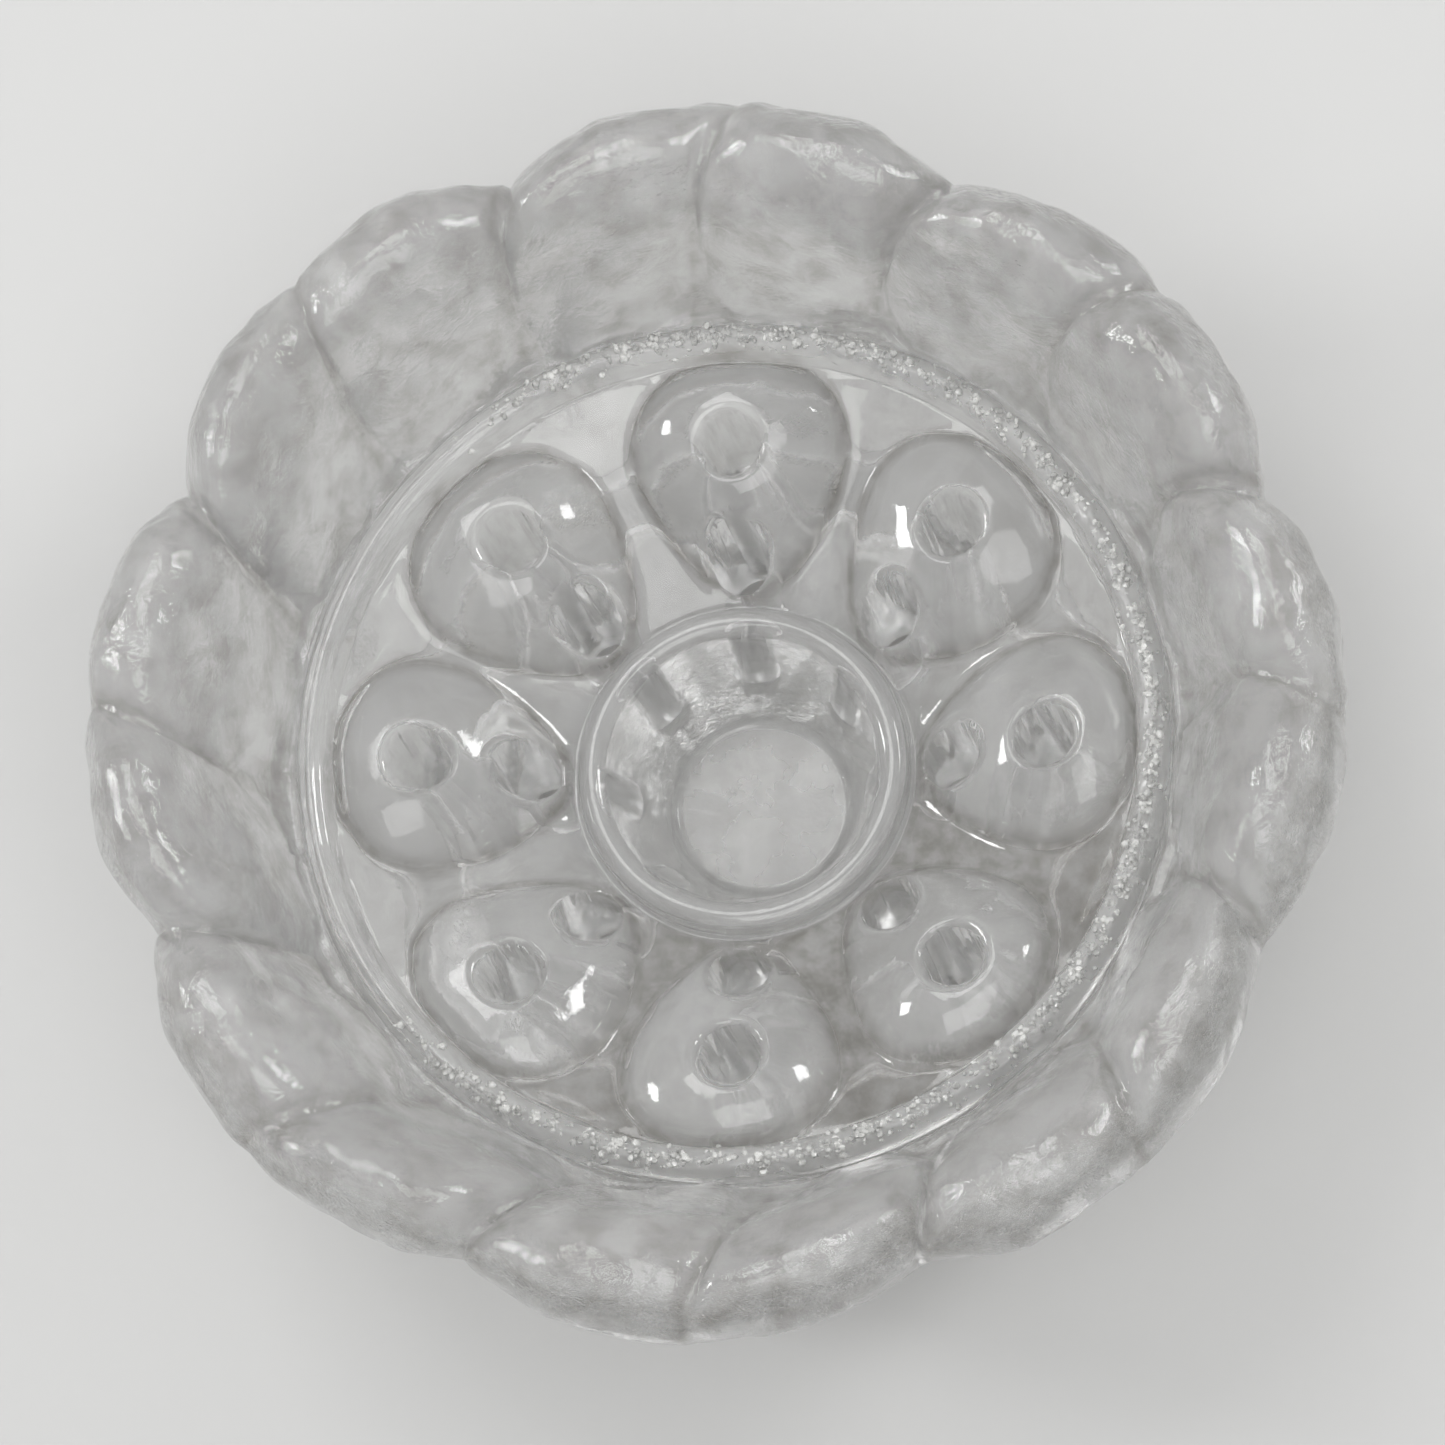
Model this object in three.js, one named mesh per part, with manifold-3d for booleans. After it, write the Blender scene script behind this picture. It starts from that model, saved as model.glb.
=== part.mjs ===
// A clear cast-glass flower frog, in millimetres, +Z up.
// The origin is the middle of the foot's resting plane, on the axis of the cup.
//
// The glass is a shallow lotus: eight double-lobed outer petals swirl round a rough ring, and inside the
// ring eight egg-shaped pods stand round a closed cup. Two stem holes run down through each pod and come
// out in the hollow of the foot. Each moulded feature is a solid of its own, parted by a fine joint.
import * as THREE from "three";
import { mergeVertices } from "three/addons/utils/BufferGeometryUtils.js";
import Module from "manifold-3d";

const wasm = await Module();
wasm.setup();

// ---- Driving dimensions ----
const PETALS = 8;
const LOBE_RADIUS = 63.5; // the axis to the edge of a petal
const CROWN_HEIGHT = 54; // the foot's resting plane to the top of a petal
const JOINT = 0.3; // left open between neighbouring solids

// Foot: a plain ring that lifts the underside clear of the bowl.
const FOOT_HEIGHT = 4.8;
const FOOT_INNER = 35.5;
const FOOT_OUTER = 41.2;
const FOOT_ROUND = 1.2;
const UNDERSIDE = FOOT_HEIGHT + JOINT;

// Cup: a round socket with a closed floor and a tapered wall.
const CUP_RADIUS = 17;
const CUP_RIM = 24.5;
const CUP_MOUTH = 13.8;
const CUP_FLOOR_RADIUS = 8.6;
const CUP_FLOOR = 7.5;
const CUP_FILLET = 1; // the corner between the floor and the wall
const CUP_LIP = (CUP_RADIUS - CUP_MOUTH) / 2;

// Ring: the rough bead between the pods and the outer petals.
const RING_INNER = 41.2;
const RING_OUTER = 44.6;
const RING_TOP = 35;

// Well: the floor that the pods stand on, between the cup and the ring.
const WELL_INNER = CUP_RADIUS + JOINT;
const WELL_OUTER = RING_INNER - JOINT;
const WELL_AT_CUP = 21.5;
const WELL_AT_RING = 31;

// Pod: an egg with its narrow end at the cup.
const POD_CENTRE = 29.6;
const POD_HALF_LENGTH = 11.2;
const POD_HALF_WIDTH = 10.6;
const POD_TAPER = 0.3; // how much narrower the egg is at its inner end
const POD_RISE = 6;
const POD_FULLNESS = 0.5; // the dome's exponent: lower is plumper, and a half is an ellipsoid
const POD_ROOT = 3; // how deep the egg is let into the floor

// Stem holes, two in each pod.
const STEM_HOLE_RADIUS = 3.1;
const STEM_HOLE_CIRCLES = [21.7, 31.7];

// Outer petals, from the ring to the lip.
const PETAL_INNER = RING_OUTER + JOINT;
const PETAL_ROOT = 31; // height beside the ring
const PETAL_LIP = 47; // height of the widest line
const LIP_THICKNESS = 1.5; // flat edge between the petal's two sides
const CROWN_PLACE = 0.55; // the crown's share of the way out
const NOTCH = 0.06; // how far the outline draws in between two petals
const NOTCH_SHARPNESS = 2.6;
const BOUNDARY_DROP = 8; // depth of the crease between two petals
const BOUNDARY_FADE = 0.65; // the share of that depth lost at the lip
const CREASE_DROP = 5; // depth of the crease down the middle of a petal
const CREASE_FADE = 0.8; // the share of that depth lost at the lip
const CREASE_SHARPNESS = 3;
const CREASE_START = 0.25; // the creases reach full depth this far out from the ring
const UNDERSIDE_CURVE = 1.7; // the bowl's outside: higher is flatter below and steeper at the lip
const SWIRL = THREE.MathUtils.degToRad(8); // the petals turn clockwise by this much on the way out
const SWIRL_STILL = 0.68; // how far out a petal's middle lines up with a pod

// ---- Mesh resolution ----
const PETAL_SECTIONS = 12;
const PETAL_STEPS = 9;
const POD_SECTIONS = 6;
const POD_SEGMENTS = 28;
const POD_RINGS = 6;
const ROUND_SEGMENTS = 48;
const HOLE_SEGMENTS = 20;

const HALF_SECTOR = Math.PI / PETALS;
const petalAngle = (index) => index * 2 * HALF_SECTOR;

// Steps from 0 to 1, both ends included.
const steps = (count) => Array.from({ length: count + 1 }, (_, i) => i / count);

// ---- Materials ----
const clearGlass = new THREE.MeshStandardMaterial({ color: 0xd6d8d6, roughness: 0.08, metalness: 0 });
const groundGlass = new THREE.MeshStandardMaterial({ color: 0xc4c5c1, roughness: 0.55, metalness: 0 });

// ---- Shapes ----
const polar = (radius, angle, height) =>
  new THREE.Vector3(radius * Math.cos(angle), radius * Math.sin(angle), height);

// A closed solid through a row of sections. Each section is a list of {radius, angle, height}, anticlockwise
// in radius and height, and the sections follow each other anticlockwise about the axis.
function loft(sections) {
  const count = sections[0].length;
  const points = sections.flat().map((p) => polar(p.radius, p.angle, p.height));
  const faces = [];
  for (let s = 0; s < sections.length - 1; s++)
    for (let i = 0; i < count; i++) {
      const [a, b] = [s * count + i, s * count + ((i + 1) % count)];
      faces.push(a, b + count, b, a, a + count, b + count);
    }
  const outline = (section) => section.map((p) => new THREE.Vector2(p.radius, p.height));
  const last = (sections.length - 1) * count;
  for (const [a, b, c] of THREE.ShapeUtils.triangulateShape(outline(sections[0]), [])) faces.push(a, b, c);
  for (const [a, b, c] of THREE.ShapeUtils.triangulateShape(outline(sections.at(-1)), []))
    faces.push(last + c, last + b, last + a);
  return new THREE.BufferGeometry().setFromPoints(points).setIndex(faces);
}

// A ring or cup turned about the axis from a closed profile of [radius, height], anticlockwise.
const turned = (profile) =>
  new THREE.LatheGeometry(
    profile.map(([radius, height]) => new THREE.Vector2(radius, height)),
    ROUND_SEGMENTS,
  ).rotateX(Math.PI / 2);

// A quarter-circle corner of a profile, from one angle to another about a centre.
const corner = (radius, height, round, from, to, count = 3) =>
  steps(count).map((t) => {
    const angle = THREE.MathUtils.degToRad(from + (to - from) * t);
    return [radius + round * Math.cos(angle), height + round * Math.sin(angle)];
  });

function solidOf(geometry) {
  const bare = geometry.clone();
  bare.deleteAttribute("normal");
  bare.deleteAttribute("uv");
  const merged = mergeVertices(bare, 1e-4);
  return new wasm.Manifold(
    new wasm.Mesh({
      numProp: 3,
      vertProperties: new Float32Array(merged.attributes.position.array),
      triVerts: new Uint32Array(merged.index.array),
    }),
  );
}

function geometryOf(solid) {
  const mesh = solid.getMesh();
  return new THREE.BufferGeometry()
    .setAttribute("position", new THREE.BufferAttribute(mesh.vertProperties, 3))
    .setIndex(new THREE.BufferAttribute(mesh.triVerts, 1));
}

// ---- Surfaces ----
// The outline of a petal: full over most of its width, and drawn in where it meets its neighbour.
const outlineRadius = (across) => LOBE_RADIUS * (1 - NOTCH * Math.abs(across) ** NOTCH_SHARPNESS);

// The height along the middle of a lobe: up from the ring to the crown, then round to the lip.
function lobeHeight(out) {
  if (out < CROWN_PLACE) {
    const climb = Math.sin((Math.PI / 2) * (out / CROWN_PLACE));
    return PETAL_ROOT + (CROWN_HEIGHT - PETAL_ROOT) * climb;
  }
  const past = (out - CROWN_PLACE) / (1 - CROWN_PLACE);
  return PETAL_LIP + (CROWN_HEIGHT - PETAL_LIP) * Math.sqrt(Math.max(0, 1 - past * past));
}

// The petal's upper side. across runs from -1 to 1 over the petal, and each half of it is one lobe.
function petalTop(out, across) {
  const side = 2 * Math.abs(across) - 1; // -1 at the middle crease, 1 at the neighbour
  const boundary = BOUNDARY_DROP * (1 - BOUNDARY_FADE * out ** 3);
  const middle = CREASE_DROP * (1 - CREASE_FADE * out);
  const rootFade = Math.min(1, out / CREASE_START);
  return lobeHeight(out) - (side > 0 ? boundary : middle) * rootFade * Math.abs(side) ** CREASE_SHARPNESS;
}

// The petal's underside: flat beside the foot, then curving up steeply to just under the lip.
function petalUnder(out, across) {
  const climb = petalTop(1, across) - LIP_THICKNESS - UNDERSIDE;
  return UNDERSIDE + climb * out ** UNDERSIDE_CURVE;
}

// The well's floor slopes up from the cup to the ring.
const wellFloor = (radius) =>
  WELL_AT_CUP + ((WELL_AT_RING - WELL_AT_CUP) * (radius - WELL_INNER)) / (WELL_OUTER - WELL_INNER);

// A point on the egg's dome. share runs from 0 at its crown to 1 at its edge, and turn goes round it.
function eggPoint(share, turn, lift) {
  const along = share * Math.cos(turn);
  const x = POD_CENTRE + POD_HALF_LENGTH * along;
  const y = POD_HALF_WIDTH * (1 + POD_TAPER * along) * share * Math.sin(turn);
  return new THREE.Vector3(x, y, wellFloor(x) + lift);
}

// ---- Sub-parts ----
function outerPetal() {
  const sections = steps(PETAL_SECTIONS).map((t) => {
    const across = 2 * t - 1;
    const place = (out, height) => {
      const radius = PETAL_INNER + (outlineRadius(across) - PETAL_INNER) * out;
      const halfWidth = HALF_SECTOR - JOINT / 2 / radius;
      return { radius, height, angle: across * halfWidth + SWIRL * (SWIRL_STILL - out) };
    };
    const under = steps(PETAL_STEPS).map((out) => place(out, petalUnder(out, across)));
    // The steps draw together towards the lip, where the surface turns down.
    const top = steps(PETAL_STEPS).map((t) => {
      const out = Math.sin((Math.PI / 2) * (1 - t));
      return place(out, petalTop(out, across));
    });
    return [...under, ...top];
  });
  return loft(sections);
}

// The part of the well's floor that one pod stands on.
function wellSector() {
  const sections = steps(POD_SECTIONS).map((t) => {
    const place = (radius, height) => {
      const angle = (2 * t - 1) * (HALF_SECTOR - JOINT / 2 / radius);
      return { radius, angle, height };
    };
    return [
      place(WELL_INNER, UNDERSIDE),
      place(WELL_OUTER, UNDERSIDE),
      place(WELL_OUTER, WELL_AT_RING),
      place(WELL_INNER, WELL_AT_CUP),
    ];
  });
  return loft(sections);
}

// The egg itself: rings of points from its root in the floor up over the dome.
function eggDome() {
  const rings = [{ share: 1, lift: -POD_ROOT }];
  for (const t of steps(POD_RINGS).slice(0, -1)) {
    const share = Math.cos((Math.PI / 2) * t);
    rings.push({ share, lift: POD_RISE * (1 - share * share) ** POD_FULLNESS });
  }
  const round = steps(POD_SEGMENTS).slice(0, -1);
  const points = rings.flatMap(({ share, lift }) => round.map((t) => eggPoint(share, 2 * Math.PI * t, lift)));
  const [foot, crown] = [points.length, points.length + 1];
  points.push(eggPoint(0, 0, -POD_ROOT), eggPoint(0, 0, POD_RISE));
  const faces = [];
  for (let i = 0; i < POD_SEGMENTS; i++) {
    const next = (i + 1) % POD_SEGMENTS;
    for (let ring = 0; ring < rings.length - 1; ring++) {
      const [low, high] = [ring * POD_SEGMENTS, (ring + 1) * POD_SEGMENTS];
      faces.push(low + i, low + next, high + next, low + i, high + next, high + i);
    }
    const top = (rings.length - 1) * POD_SEGMENTS;
    faces.push(foot, next, i, crown, top + i, top + next);
  }
  return new THREE.BufferGeometry().setFromPoints(points).setIndex(faces);
}

function innerPod() {
  let pod = solidOf(wellSector()).add(solidOf(eggDome()));
  for (const circle of STEM_HOLE_CIRCLES) {
    const drill = new THREE.CylinderGeometry(
      STEM_HOLE_RADIUS,
      STEM_HOLE_RADIUS,
      2 * CROWN_HEIGHT,
      HOLE_SEGMENTS,
    );
    drill.rotateX(Math.PI / 2).translate(circle, 0, 0);
    pod = pod.subtract(solidOf(drill));
  }
  return geometryOf(pod);
}

const centreCup = () =>
  turned([
    [0, UNDERSIDE],
    [CUP_RADIUS, UNDERSIDE],
    ...corner(CUP_RADIUS - CUP_LIP, CUP_RIM - CUP_LIP, CUP_LIP, 0, 180, 6),
    [CUP_FLOOR_RADIUS + CUP_FILLET, CUP_FLOOR + CUP_FILLET],
    [CUP_FLOOR_RADIUS, CUP_FLOOR],
    [0, CUP_FLOOR],
  ]);

function roughRing() {
  const round = (RING_OUTER - RING_INNER) / 2;
  return turned([
    [RING_INNER, UNDERSIDE],
    [RING_OUTER, UNDERSIDE],
    ...corner(RING_INNER + round, RING_TOP - round, round, 0, 180, 5),
    [RING_INNER, UNDERSIDE],
  ]);
}

const footRing = () =>
  turned([
    ...corner(FOOT_INNER + FOOT_ROUND, FOOT_ROUND, FOOT_ROUND, 180, 270),
    ...corner(FOOT_OUTER - FOOT_ROUND, FOOT_ROUND, FOOT_ROUND, 270, 360),
    [FOOT_OUTER, FOOT_HEIGHT],
    [FOOT_INNER, FOOT_HEIGHT],
    [FOOT_INNER, FOOT_ROUND],
  ]);

// ---- Assembly ----
const frog = new THREE.Group();

function add(name, geometry, material, turn = 0) {
  const mesh = new THREE.Mesh(geometry, material);
  mesh.name = name;
  mesh.rotation.z = turn;
  frog.add(mesh);
}

add("foot_ring", footRing(), groundGlass);
add("centre_cup", centreCup(), clearGlass);
add("rough_ring", roughRing(), groundGlass);

const pod = innerPod();
const petal = outerPetal();
for (let i = 0; i < PETALS; i++) {
  add(`inner_pod_${i + 1}`, pod, clearGlass, petalAngle(i));
  add(`outer_petal_${i + 1}`, petal, clearGlass, petalAngle(i));
}

export default frog;
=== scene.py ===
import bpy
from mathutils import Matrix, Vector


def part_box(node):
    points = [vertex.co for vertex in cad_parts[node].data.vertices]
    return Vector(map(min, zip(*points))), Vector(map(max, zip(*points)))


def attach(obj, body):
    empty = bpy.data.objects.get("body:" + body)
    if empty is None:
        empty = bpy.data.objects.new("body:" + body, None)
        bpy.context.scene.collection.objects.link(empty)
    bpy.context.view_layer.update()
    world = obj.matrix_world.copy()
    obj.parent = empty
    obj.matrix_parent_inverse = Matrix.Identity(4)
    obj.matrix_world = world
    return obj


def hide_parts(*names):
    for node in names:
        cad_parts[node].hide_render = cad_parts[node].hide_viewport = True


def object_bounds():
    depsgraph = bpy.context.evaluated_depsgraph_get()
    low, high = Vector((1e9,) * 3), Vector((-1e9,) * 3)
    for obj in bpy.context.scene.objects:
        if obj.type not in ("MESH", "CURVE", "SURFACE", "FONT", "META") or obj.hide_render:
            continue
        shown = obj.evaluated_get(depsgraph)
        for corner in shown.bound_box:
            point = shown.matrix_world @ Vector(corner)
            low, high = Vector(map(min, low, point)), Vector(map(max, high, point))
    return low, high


bl_info = {
    "name": "Cast Glass Flower Frog",
    "version": (1, 0, 0),
    "blender": (4, 5, 0),
    "location": "View3D > Sidebar > Flower Frog",
    "description": "Makes a pressed glass flower frog: petals, rough ring, pierced pods and centre cup",
    "category": "Object",
}

import math

import bmesh
import bpy
import numpy as np
from bpy.props import (
    FloatProperty,
    FloatVectorProperty,
    IntProperty,
    PointerProperty,
)
from mathutils import Matrix, Vector

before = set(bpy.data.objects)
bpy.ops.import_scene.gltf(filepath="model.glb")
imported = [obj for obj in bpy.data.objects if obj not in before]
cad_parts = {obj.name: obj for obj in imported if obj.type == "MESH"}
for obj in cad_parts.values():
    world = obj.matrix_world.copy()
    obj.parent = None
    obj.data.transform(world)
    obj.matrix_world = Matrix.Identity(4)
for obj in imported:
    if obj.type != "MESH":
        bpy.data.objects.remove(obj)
CAD_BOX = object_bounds()

MM = 0.001
BODY = "root"
SEED = 1931

# ---- Sizes taken from the frame, in metres ----
PETALS = 8
SECTOR = 2 * math.pi / PETALS
FOOT_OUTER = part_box("foot_ring")[1].x
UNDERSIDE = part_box("centre_cup")[0].z
CUP_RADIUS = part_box("centre_cup")[1].x
CUP_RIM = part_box("centre_cup")[1].z
RING_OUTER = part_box("rough_ring")[1].x
RING_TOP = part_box("rough_ring")[1].z
PETAL_REACH = min(CAD_BOX[1].x, -CAD_BOX[0].x)
PETAL_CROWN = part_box("outer_petal_1")[1].z

# ---- Places that the frame's boxes don't give ----
FOOT_INNER = 35.5 * MM
CUP_FLOOR = 7.5 * MM
CUP_FLOOR_RADIUS = 8.6 * MM
CUP_MOUTH = 13.8 * MM
WELL_AT_CUP = 21.5 * MM
WELL_AT_RING = 31 * MM
RING_INNER = 40.9 * MM
PETAL_INNER = 44.9 * MM
PETAL_ROOT = 31 * MM
PETAL_LIP = 46.4 * MM
STEM_HOLE_CIRCLES = (21.7 * MM, 31.7 * MM)
STEM_HOLE_RADIUS = 3.1 * MM

# The petals lean clockwise on the way out, and line up with the pods at this share of the way.
PETAL_LEAN = math.radians(8)
LEAN_STILL = 0.68

# Columns of points round the casting: a multiple of 16, so that every crease runs along one.
COLUMNS = 400

# The direction in which the outline is a little flattened.
FLAT_SIDE = math.radians(45)


class FrogSizes(bpy.types.PropertyGroup):
    """Sizes of the moulded features that a user would change"""

    notch: FloatProperty(
        name="Notch",
        description="How far the outline draws in between two petals, as a share of the radius",
        default=0.062,
        min=0.0,
        max=0.2,
        subtype="FACTOR",
    )
    petal_crease: FloatProperty(
        name="Petal crease",
        description="Depth of the crease between two petals",
        default=8.5 * MM,
        unit="LENGTH",
    )
    lobe_crease: FloatProperty(
        name="Lobe crease",
        description="Depth of the crease between the two lobes of a petal",
        default=6.0 * MM,
        unit="LENGTH",
    )
    lip_thickness: FloatProperty(
        name="Lip thickness",
        description="Height of the rounded edge of a petal",
        default=2.4 * MM,
        unit="LENGTH",
    )
    pod_rise: FloatProperty(
        name="Pod rise",
        description="Height of a pod above the floor of the well",
        default=6.0 * MM,
        unit="LENGTH",
    )
    pod_length: FloatProperty(
        name="Pod length",
        description="Length of a pod, outwards from the cup",
        default=22.6 * MM,
        unit="LENGTH",
    )
    pod_width: FloatProperty(
        name="Pod width",
        description="Width of a pod at its middle",
        default=21.0 * MM,
        unit="LENGTH",
    )
    waviness: FloatProperty(
        name="Waviness",
        description="Height of the slow swells that the mould leaves in the glass",
        default=0.30 * MM,
        unit="LENGTH",
    )
    hammering: FloatProperty(
        name="Hammering",
        description="Height of the small dents on the petals and the underside",
        default=0.12 * MM,
        unit="LENGTH",
    )
    flattening: FloatProperty(
        name="Flattening",
        description="How much the outline is drawn in on its flat side, as a share of the radius",
        default=0.025,
        min=0.0,
        max=0.1,
        subtype="FACTOR",
    )
    grain_count: IntProperty(
        name="Ring grains",
        description="How many glass grains are fused to the rough ring",
        default=1400,
        min=0,
        max=4000,
    )


class FrogFinish(bpy.types.PropertyGroup):
    """Colours and finishes that a user would change"""

    glass_tint: FloatVectorProperty(
        name="Glass tint",
        description="What is left of white light after it has crossed the glass",
        default=(0.52, 0.525, 0.515),
        subtype="COLOR",
        min=0.0,
        max=1.0,
    )
    tint_density: FloatProperty(
        name="Tint density",
        description="How quickly the tint builds up with the thickness of the glass",
        default=2.5,
        min=0.0,
    )
    # Colour of the residue film, also used as painted shade along the creases between the lobes and round
    # the pods' edges.
    residue_and_crease_shade: FloatVectorProperty(
        name="Residue",
        description="Colour of the film left by old water in the recesses",
        default=(0.44, 0.42, 0.39),
        subtype="COLOR",
        min=0.0,
        max=1.0,
    )
    grain: FloatVectorProperty(
        name="Grain",
        description="Colour of the rough grains on the ring",
        default=(0.86, 0.86, 0.84),
        subtype="COLOR",
        min=0.0,
        max=1.0,
    )
    floor: FloatVectorProperty(
        name="Floor",
        description="Colour of the floor under the frog",
        default=(0.50, 0.50, 0.495),
        subtype="COLOR",
        min=0.0,
        max=1.0,
    )


def sizes():
    return bpy.context.scene.frog_sizes


def finish():
    return bpy.context.scene.frog_finish


# ---- Shared shape maths ----
def smoothstep(low, high, x):
    """0 below low, 1 above high, and a smooth S between them."""
    t = np.clip((x - low) / (high - low), 0, 1)
    return t * t * (3 - 2 * t)


def soft_positive(x, softness):
    """x where it is positive and 0 where it is negative, with the corner rounded off."""
    return 0.5 * (x + np.sqrt(x * x + softness * softness))


def swells(points, wavelength, seed, waves=14):
    """A smooth random field from about -1 to 1: the sum of cosine waves of one length that cross the
    points in seeded directions, with seeded phases."""
    rng = np.random.default_rng(SEED + seed)
    directions = rng.normal(size=(waves, 3))
    directions /= np.linalg.norm(directions, axis=1)[:, None]
    lengths = wavelength * rng.uniform(0.75, 1.35, waves)
    phases = rng.uniform(0, 2 * math.pi, waves)
    total = np.zeros(points.shape[:-1])
    for direction, length, phase in zip(directions, lengths, phases):
        total += np.cos(points @ direction * (2 * math.pi / length) + phase)
    return total / math.sqrt(waves)


def arc(centre_r, centre_z, radius_r, radius_z, start, end, count):
    """Points (r, z) of a quarter or half ellipse about a centre, from one angle in degrees to another."""
    t = np.radians(np.linspace(start, end, count))
    return np.stack([centre_r + radius_r * np.cos(t), centre_z + radius_z * np.sin(t)], 1)


def line(start, end, count):
    """Evenly spaced points (r, z) from start to end, without the end."""
    t = np.linspace(0, 1, count, endpoint=False)[:, None]
    return np.array(start) * (1 - t) + np.array(end) * t


def well_floor(radius):
    """The floor of the well rises in a straight line from the cup to the ring."""
    share = (radius - CUP_RADIUS) / (RING_INNER - CUP_RADIUS)
    return WELL_AT_CUP + (WELL_AT_RING - WELL_AT_CUP) * np.clip(share, 0, 1)


def pod_share(x, y):
    """Where a point lies in its nearest pod: the egg's share, the pod's plumpness and the distance to the
    nearer of its stem holes.

    Each point is turned into the frame of its nearest pod, where u runs outwards and v across. The egg's
    share is 1 minus the squared distance from its middle, measured in half lengths and in half widths that
    grow outwards. So it is 1 in the middle, 0 on the pod's edge and negative outside. No two pods are
    quite alike.
    """
    s = sizes()
    rng = np.random.default_rng(SEED + 1)
    shift_u = rng.uniform(-0.5, 0.3, PETALS) * MM
    shift_v = rng.uniform(-0.6, 0.6, PETALS) * MM
    turn = rng.uniform(-0.06, 0.06, PETALS)
    plump = rng.uniform(0.9, 1.08, PETALS)
    sector = np.round(np.arctan2(y, x) / SECTOR)
    index = sector.astype(int) % PETALS
    local = np.arctan2(y, x) - SECTOR * sector
    radius = np.hypot(x, y)
    u, v = radius * np.cos(local), radius * np.sin(local)
    du = u - (RING_INNER - s.pod_length / 2) - shift_u[index]
    dv = v - shift_v[index]
    cos_turn, sin_turn = np.cos(turn[index]), np.sin(turn[index])
    along = (du * cos_turn + dv * sin_turn) / (s.pod_length / 2)
    half_width = s.pod_width / 2 * (1 + 0.3 * np.clip(along, -1, 1))
    across = (dv * cos_turn - du * sin_turn) / half_width
    mouth = np.minimum(*(np.hypot(u - circle, v) for circle in STEM_HOLE_CIRCLES))
    return 1 - along**2 - across**2, plump[index], mouth


def pod_lift(x, y):
    """How far the pods stand above the well's floor, as a plump power of the egg's share, and the distance
    to the nearest stem hole."""
    share, plump, mouth = pod_share(x, y)
    return sizes().pod_rise * plump * soft_positive(share, 0.06) ** 0.62, mouth


def mouth_drop(distance, flare=1.1 * MM):
    """How far the surface sinks round a stem hole: a quarter circle that turns down into the wall."""
    edge = np.clip((distance - STEM_HOLE_RADIUS) / flare, 0, 1)
    return flare * (1 - np.sqrt(1 - (1 - edge) ** 2))


def lobe_crest(out):
    """Height along the middle of a lobe: a blunt, rounded inner end beside the ring, a long back that climbs
    slowly to the crown, then an ellipse down to the lip."""
    start, place = 37 * MM, 0.68
    back = np.sin(math.pi / 2 * np.clip(out / place, 0, 1)) ** 1.15
    past = np.clip((out - place) / (1 - place), 0, 1)
    rising = start + (PETAL_CROWN - start) * back
    falling = PETAL_LIP + (PETAL_CROWN - PETAL_LIP) * np.sqrt(1 - past**2)
    return np.where(out < place, rising, falling)


def lobe_valley(out, across):
    """Height along the creases. The one between two petals runs deep to the outline. The one down the middle
    of a petal is shallower and has almost risen to the crest when it gets there."""
    s = sizes()
    between = s.petal_crease * (1 - 0.55 * out**3)
    middle = s.lobe_crease * (1 - 0.72 * out**2)
    share = smoothstep(-0.35, 0.35, 2 * np.abs(across) - 1)
    depth = middle + (between - middle) * share
    return np.maximum(lobe_crest(out) - depth, PETAL_ROOT)


def lobe_height(out, across):
    """Height of the petals' upper side. across runs from -1 to 1 over a petal, and each half is one lobe.

    A lobe bulges from the creases on either side up to its crest. In plan its inner end is half an ellipse
    of this length, so it narrows to a round nose beside the ring, where the creases meet the ring.
    """
    nose = 0.42
    side = 2 * np.abs(across) - 1
    end = np.clip((nose - out) / nose, 0, 1)
    room = np.clip(1 - np.abs(side) ** 2.2 - end**2, 0, 1)
    bulge = room**0.5
    valley = lobe_valley(out, across)
    rooted = smoothstep(0, 0.3, out)
    valley = PETAL_ROOT + (valley - PETAL_ROOT) * rooted
    return valley + bulge * (lobe_crest(out) - valley)


def petal_outline(across):
    """Radius of the outline: full over most of a petal, drawn in steeply towards its neighbours, with a
    shallow dimple where the crease down its middle comes out."""
    s = sizes()
    dimple = 0.006 * np.exp(-((across / 0.09) ** 2))
    return PETAL_REACH * (0.9985 - s.notch * np.abs(across) ** 2.6 - dimple)


# ---- The rows of the casting's skin, from the middle of the cup out, round and back underneath ----
def cup_rows():
    """Profile (r, z) of the cup: flat floor, tapered wall, rounded rim and the short drop to the well."""
    lip = (CUP_RADIUS - CUP_MOUTH) / 2
    fillet = 1.2 * MM
    return np.concatenate(
        [
            line((0.5 * MM, CUP_FLOOR), (CUP_FLOOR_RADIUS - 0.3 * MM, CUP_FLOOR), 6),
            arc(CUP_FLOOR_RADIUS - 0.3 * MM, CUP_FLOOR + fillet, fillet, fillet, 270, 345, 5),
            line(
                (CUP_FLOOR_RADIUS + 1.2 * MM, CUP_FLOOR + 2.2 * MM),
                (CUP_MOUTH, CUP_RIM - lip),
                8,
            ),
            arc(CUP_MOUTH + lip, CUP_RIM - lip, lip, lip, 180, 0, 13),
        ]
    )


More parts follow.
